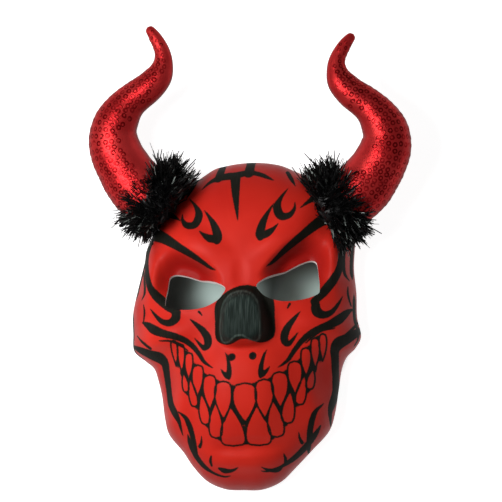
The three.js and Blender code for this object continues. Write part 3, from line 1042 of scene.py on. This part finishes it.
def print_shell(shell):
    """Keeps the print's distances and the painted shade's share at each point."""
    points = to_plan(mesh_points(shell.data))
    _, reach = shell_over(points[:, 0], points[:, 1])
    face_x, face_y = plan_to_face(points)
    write_values(shell.data, "ink", ink_distance(face_x, face_y, reach))
    write_values(shell.data, "tooth_ink", tooth_ink(face_x, face_y))
    arch = signed_distance(face_x, face_y, nose_outline(NOSE_ARCH, ARCH_MIDDLE))
    write_values(shell.data, "nose_arch", np.clip(arch, -ARCH_FAR, ARCH_FAR))
    write_values(shell.data, "painted_shade", painted_shade_share(face_x, face_y, reach))


# Horns
def horn_line(side, out, up, stretch):
    placed = [
        (side * (x + out), STRETCH_FROM + up + (y - STRETCH_FROM) * stretch, z, radius)
        for x, y, z, radius in HORN_LINE
    ]
    fine = spline_through(placed, HORN_STEPS)
    steps = np.linalg.norm(np.diff(fine[:, :3], axis=0), axis=1)
    walked = np.concatenate([[0], np.cumsum(steps)])
    return fine, walked


def along_horn(line, walked, distance):
    """Middle, radius and the two cross directions at distances along a horn."""

    def at(where):
        return np.column_stack([np.interp(where, walked, line[:, k]) for k in range(4)])

    along = unit((at(distance + HEADING_REACH) - at(distance - HEADING_REACH))[:, :3])
    across = unit(np.cross((0, 0, 1), along))
    placed = at(distance)
    return placed[:, :3], placed[:, 3], across, np.cross(along, across)


def horn_surface(line, walked, distance, turn, lift=0):
    """Points on the cloth or lifted off it, and their directions out of the horn."""
    middle, radius, across, upright = along_horn(line, walked, distance)
    left_over = np.clip((walked[-1] - distance) / TIP_ROUND, 0, 1)
    radius = radius * np.sqrt(1 - (1 - left_over) ** 2)
    wave = LONG_WAVE[0] * np.sin(distance * LONG_WAVE[1] + 2 * np.sin(turn))
    wave += SHORT_WAVE[0] * np.sin(distance * SHORT_WAVE[1] + 3 * turn)
    radius = radius * (1 + CLOTH_SLACK * wave) + lift
    outward = around(across, upright, turn)
    return middle + outward * radius[:, None], outward


def make_horn(name, placing, room, material):
    line, walked = horn_line(**placing)
    bpy.ops.mesh.primitive_grid_add(x_subdivisions=HORN_SIDES, y_subdivisions=HORN_RINGS, size=2)
    horn = named(bpy.context.object, f"horn_cloth_{name}")
    shares = mesh_points(horn.data)
    turn = math.pi * shares[:, 0] - math.pi / 2
    distance = HIDDEN_ROOT + (walked[-1] - HIDDEN_ROOT) * (shares[:, 1] + 1) / 2
    points, _ = horn_surface(line, walked, distance, turn)
    place_points(horn.data, points)
    edit(horn)
    bpy.ops.mesh.remove_doubles(threshold=0.00002)
    select_open_edges()
    bpy.ops.mesh.edge_face_add()
    close_faces()
    cut(horn, room)
    # Painted shade: its share grows where the cloth faces less upwards
    facing_up = mesh_points(horn.data, "normal")[:, 2]
    write_values(horn.data, "under", np.clip(1 - facing_up / PAINTED_SHADE_BELOW, 0, 1))
    wear(horn, material)
    smooth(horn, 50)
    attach(horn, "root")
    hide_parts(f"horn_{name}")
    return line, walked


def one_sequin():
    """A cupped ring, modelled once round the origin."""
    bpy.ops.mesh.primitive_torus_add(
        major_segments=SEQUIN_SIDES, minor_segments=4,
        major_radius=(SEQUIN_RADIUS + SEQUIN_HOLE) / 2, minor_radius=(SEQUIN_RADIUS - SEQUIN_HOLE) / 2,
    )
    ring = bpy.context.object
    points = mesh_points(ring.data)
    points[:, 2] = np.sign(points[:, 2]) * SEQUIN_RISE / 2 * (np.abs(points[:, 2]) > 0.1)
    faces = [tuple(face.vertices) for face in ring.data.polygons]
    remove(ring)
    return points, faces


def repeated(name, all_points, faces, tones):
    """One mesh of many copies; all_points holds copies by points by 3."""
    copies, count, _ = all_points.shape
    sizes = {len(face) for face in faces}
    joined = []
    for size in sorted(sizes):
        base = np.array([face for face in faces if len(face) == size])
        joined += (base[None] + count * np.arange(copies)[:, None, None]).reshape(-1, size).tolist()
    mesh = bpy.data.meshes.new(name)
    mesh.from_pydata(all_points.reshape(-1, 3).tolist(), [], joined)
    mesh.update()
    write_values(mesh, "tone", np.repeat(tones, count))
    piece = bpy.data.objects.new(name, mesh)
    bpy.context.scene.collection.objects.link(piece)
    return piece


def make_sequins(name, line, walked, material):
    """Rings sewn in rows over the outer side, bent to lie flat on the cloth."""
    base, faces = one_sequin()
    outer_side = np.array([math.copysign(1, line[0, 0]), 0, 0])
    places, turns = [], []
    for row, distance in enumerate(np.arange(FIRST_ROW, walked[-1] - ROWS_END, ROW_PITCH)):
        girth = 2 * math.pi * np.interp(distance, walked, line[:, 3])
        count = max(LEAST_IN_ROW, round(girth / SEQUIN_PITCH))
        turns.append(2 * math.pi * (np.arange(count) + 0.5 * (row % 2)) / count)
        places.append(np.full(count, distance))
    place = np.concatenate(places)
    turn = np.concatenate(turns)
    radius = np.interp(place, walked, line[:, 3])
    place = place + random_numbers.normal(0, SEQUIN_STRAY, len(place))
    turn = turn + random_numbers.normal(0, SEQUIN_STRAY, len(place)) / radius
    centre, outward = horn_surface(line, walked, place, turn)
    height, reach = shell_over(centre[:, 0], centre[:, 1])
    free = (reach > SHELL_CLEAR[0]) | (centre[:, 2] > height + SHELL_CLEAR[1])
    free &= outward @ outer_side > SEQUIN_EDGE + random_numbers.normal(0, EDGE_STRAY, len(place))
    place, turn, radius = place[free, None], turn[free, None], radius[free, None]
    ahead, _ = horn_surface(line, walked, place[:, 0] + 1, turn[:, 0])
    behind, _ = horn_surface(line, walked, place[:, 0] - 1, turn[:, 0])
    stretch = np.linalg.norm(ahead - behind, axis=1)[:, None] / 2
    size = np.minimum(1, SMALLEST_SEQUIN + radius / FULL_SIZE_RADIUS)
    across = size * base[:, 0]
    along = size * base[:, 1]
    tilt = random_numbers.normal(0, SEQUIN_TILT, (2, len(place), 1))
    lift = base[:, 2] + tilt[0] * across + tilt[1] * along
    place = (place + along / stretch).ravel()
    turn = (turn + across / radius).ravel()
    points, _ = horn_surface(line, walked, place, turn, lift.ravel())
    tones = random_numbers.random(len(radius))
    rings = to_frame(points.reshape(len(radius), -1, 3))
    piece = repeated(f"horn_sequins_{name}", rings, faces, tones)
    wear(piece, material)
    smooth(piece, 40)
    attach(piece, "root")


# Ruffs
def clear_points(points):
    """Lifts points out of the shell and off the floor."""
    lifted = points.reshape(-1, 3).copy()
    height, reach = shell_over(lifted[:, 0], lifted[:, 1])
    over = np.maximum(np.where(reach < 1, height + STRAND_GAP, 0), FLOOR_GAP)
    lifted[:, 2] = np.maximum(lifted[:, 2], over)
    return lifted.reshape(points.shape)


def ruff_frame(side, out, up, stretch, heading, moved):
    """Middle, axis and the two cross directions of a ruff."""
    middle = np.array(RUFF_AT) + (out + moved[0], up + moved[1], 0)
    middle[0] *= side
    axis = unit(np.array(heading) * (side, stretch, 1))
    across = unit(np.cross((0, 0, 1), axis))
    return middle, axis, across, np.cross(axis, across)


def make_ruff(name, placing, heading, moved, upward, room, material):
    root, axis, across, upright = ruff_frame(**placing, heading=heading, moved=moved)
    thick = (CORE_OUTER - CORE_INNER) / 2
    bpy.ops.mesh.primitive_torus_add(
        major_segments=96, minor_segments=28, major_radius=CORE_INNER + thick, minor_radius=thick,
    )
    core = named(bpy.context.object, f"ruff_core_{name}")
    ring = mesh_points(core.data)
    turn = np.arctan2(ring[:, 1], ring[:, 0])
    radius = np.hypot(*ring[:, :2].T)
    shift = ring[:, 2] / thick * CORE_HALF
    lump = sum(0.5 * np.sin(count * turn + twist * shift) for count, twist in CORE_LUMPS)
    radius = CORE_INNER + (radius - CORE_INNER) * (1 + LUMP_SIZE * lump)
    points = root + axis * shift[:, None] + around(across, upright, turn) * radius[:, None]
    points[:, 2] = np.maximum(points[:, 2], FLOOR_GAP)
    place_points(core.data, points)
    edit(core)
    close_faces()
    cut(core, room)
    write_values(core.data, "tone", np.zeros(len(core.data.vertices)))
    wear(core, material)
    smooth(core, 60)
    strands = make_strands(name, placing["side"] * upward, root, axis, across, upright, material)
    only(core)
    strands.select_set(True)
    bpy.ops.object.join()
    ruff = named(bpy.context.object, f"ruff_tinsel_{name}")
    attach(ruff, "root")
    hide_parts(f"ruff_{name}")


def one_strand():
    """A slim three-sided ribbon: its cross-section, its joints' shares and its faces."""
    levels = np.linspace(0, 1, STRAND_JOINTS)
    angles = np.array([0, 2, 4]) * math.pi / 3
    ring = np.column_stack([np.cos(angles), STRAND_FLATNESS * np.sin(angles)])
    last = 3 * (STRAND_JOINTS - 1)
    faces = [
        (low + k, low + (k + 1) % 3, low + 3 + (k + 1) % 3, low + 3 + k)
        for low in range(0, last, 3)
        for k in range(3)
    ]
    faces += [(2, 1, 0), (last, last + 1, last + 2)]
    return ring, levels, faces


def make_strands(name, upward, root, axis, across, upright, material):
    ring, levels, faces = one_strand()
    count = CLUMPS * CLUMP_STRANDS
    draw = random_numbers

    def per_clump(values):
        return np.repeat(values, CLUMP_STRANDS)

    turn = per_clump(draw.random(CLUMPS) * 2 * math.pi) + draw.normal(0, OWN_TURN, count)
    shift = per_clump(draw.uniform(-CORE_HALF, CORE_HALF, CLUMPS)) + draw.normal(0, OWN_SHIFT, count)
    length = per_clump(draw.uniform(*STRAND_LENGTH, CLUMPS)) * draw.uniform(*LENGTH_SHARE, count)
    length = length * (1 + upward * np.cos(turn) + END_GROWTH * np.cos(turn) ** 2)
    height_share = SPLAY_BY_HEIGHT[0] + SPLAY_BY_HEIGHT[1] * np.maximum(np.sin(turn), 0)
    splay = per_clump(draw.normal(*CLUMP_SPLAY, CLUMPS)) * height_share
    splay = splay + draw.normal(0, OWN_SPLAY, count) + SPLAY_BY_SHIFT * shift
    splay = np.clip(splay, *SPLAY_LIMITS)
    swirl = per_clump(draw.normal(0, CLUMP_SWIRL, CLUMPS)) + draw.normal(0, OWN_SWIRL, count)
    start = draw.uniform(*STRAND_START, count)
    closing = per_clump(draw.random(CLUMPS) < CLOSING_SHARE)
    closing_shift = CLOSING_BAND * (shift + CORE_HALF) - CORE_HALF - CLOSING_OUT
    shift = np.where(closing, closing_shift, shift)
    splay = np.where(closing, CLOSING_SPLAY, splay)
    outward = around(across, upright, turn)
    sideways = around(upright, -across, turn)
    heading = outward * np.where(closing, -1, 1)[:, None]
    heading = unit(heading + axis * np.tan(splay)[:, None] + sideways * np.tan(swirl)[:, None])
    bend = draw.normal(0, STRAND_BEND, (count, 3))
    first = root + axis * shift[:, None] + outward * start[:, None]
    reach = length[:, None, None] * (
        levels[None, :, None] * heading[:, None] + (levels ** 2)[None, :, None] * bend[:, None]
    )
    middle = clear_points(first[:, None] + reach)
    travel = unit(np.gradient(middle, axis=1))
    flat = unit(np.cross(travel, draw.normal(0, 1, (count, 1, 3))))
    face = np.cross(travel, flat)
    width = (STRAND_WIDTH / 2 * (1 - STRAND_TAPER * levels ** 2))[None, :, None, None]
    points = (
        middle[:, :, None]
        + ring[None, None, :, 0, None] * flat[:, :, None] * width
        + ring[None, None, :, 1, None] * face[:, :, None] * width
    )
    # Tones pick the strands with painted glints, fewer near the top and the underside
    tones = draw.random(count) * (1 - DULLED * (np.abs(np.cos(turn)) < DULL_WITHIN))
    strands = repeated(f"strands_{name}", to_frame(points.reshape(count, -1, 3)), faces, tones)
    wear(strands, material)
    return strands


def shell_room():
    """Everything under the shell's outside, grown by the gap between pieces."""
    room = named(shell_grid(ROOM_GRID, HORN_GAP), "shell_room")
    edit(room)
    select_open_edges()
    bpy.ops.mesh.extrude_edges_move(TRANSFORM_OT_translate={"value": (0, 0, -ROOM_DEPTH)})
    bpy.ops.mesh.edge_face_add()
    close_faces()
    return room


# Floor, light and camera
def make_floor():
    bpy.ops.mesh.primitive_plane_add(size=6, location=(0, 0, 0))
    floor = named(bpy.context.object, "studio_floor")
    wear(floor, pale_floor())


def area_light(name, place, aim, size, power):
    bpy.ops.object.light_add(type="AREA", location=place)
    light = bpy.context.object
    light.name = name
    light.data.size = size
    light.data.energy = power
    light.rotation_euler = (Vector(aim) - Vector(place)).to_track_quat("-Z", "Y").to_euler()


def make_light():
    world = bpy.data.worlds.new("studio")
    world.use_nodes = True
    inputs = {"Color": WHITE, "Strength": WORLD_STRENGTH}
    put_in(world.node_tree, world.node_tree.nodes["Background"], inputs)
    bpy.context.scene.world = world
    for name, light in LIGHTS.items():
        area_light(name, **light)
    bpy.context.scene.view_settings.view_transform = "Standard"


def make_camera():
    bpy.ops.object.camera_add()
    camera = bpy.context.object
    place = Vector(to_frame(CAMERA_AT))
    aim = Vector(to_frame(CAMERA_AIM))
    back = (place - aim).normalized()
    right = Vector((0, 1, 0)).cross(back).normalized()
    turned = Matrix((right, back.cross(right), back)).transposed().to_4x4()
    turned = turned @ Matrix.Rotation(math.radians(CAMERA_ROLL), 4, "Z")
    camera.matrix_world = Matrix.Translation(place) @ turned
    camera.data.lens = CAMERA_LENS
    camera.data.sensor_width = 36
    camera.data.clip_end = 20
    bpy.context.scene.camera = camera


make_camera()
make_floor()
make_light()
shell = make_shell(printed_foam(), raw_foam())
cut_holes(shell)
print_shell(shell)
smooth(shell, 60)
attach(shell, "root")
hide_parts("mask_shell")

room = shell_room()
satin = satin_cloth()
foil = sequin_foil()
tinsel = tinsel_yarn()
for name, placing in HORNS.items():
    line, walked = make_horn(name, placing, room, satin)
    make_sequins(name, line, walked, foil)
    make_ruff(name, placing, **RUFFS[name], room=room, material=tinsel)
remove(room)
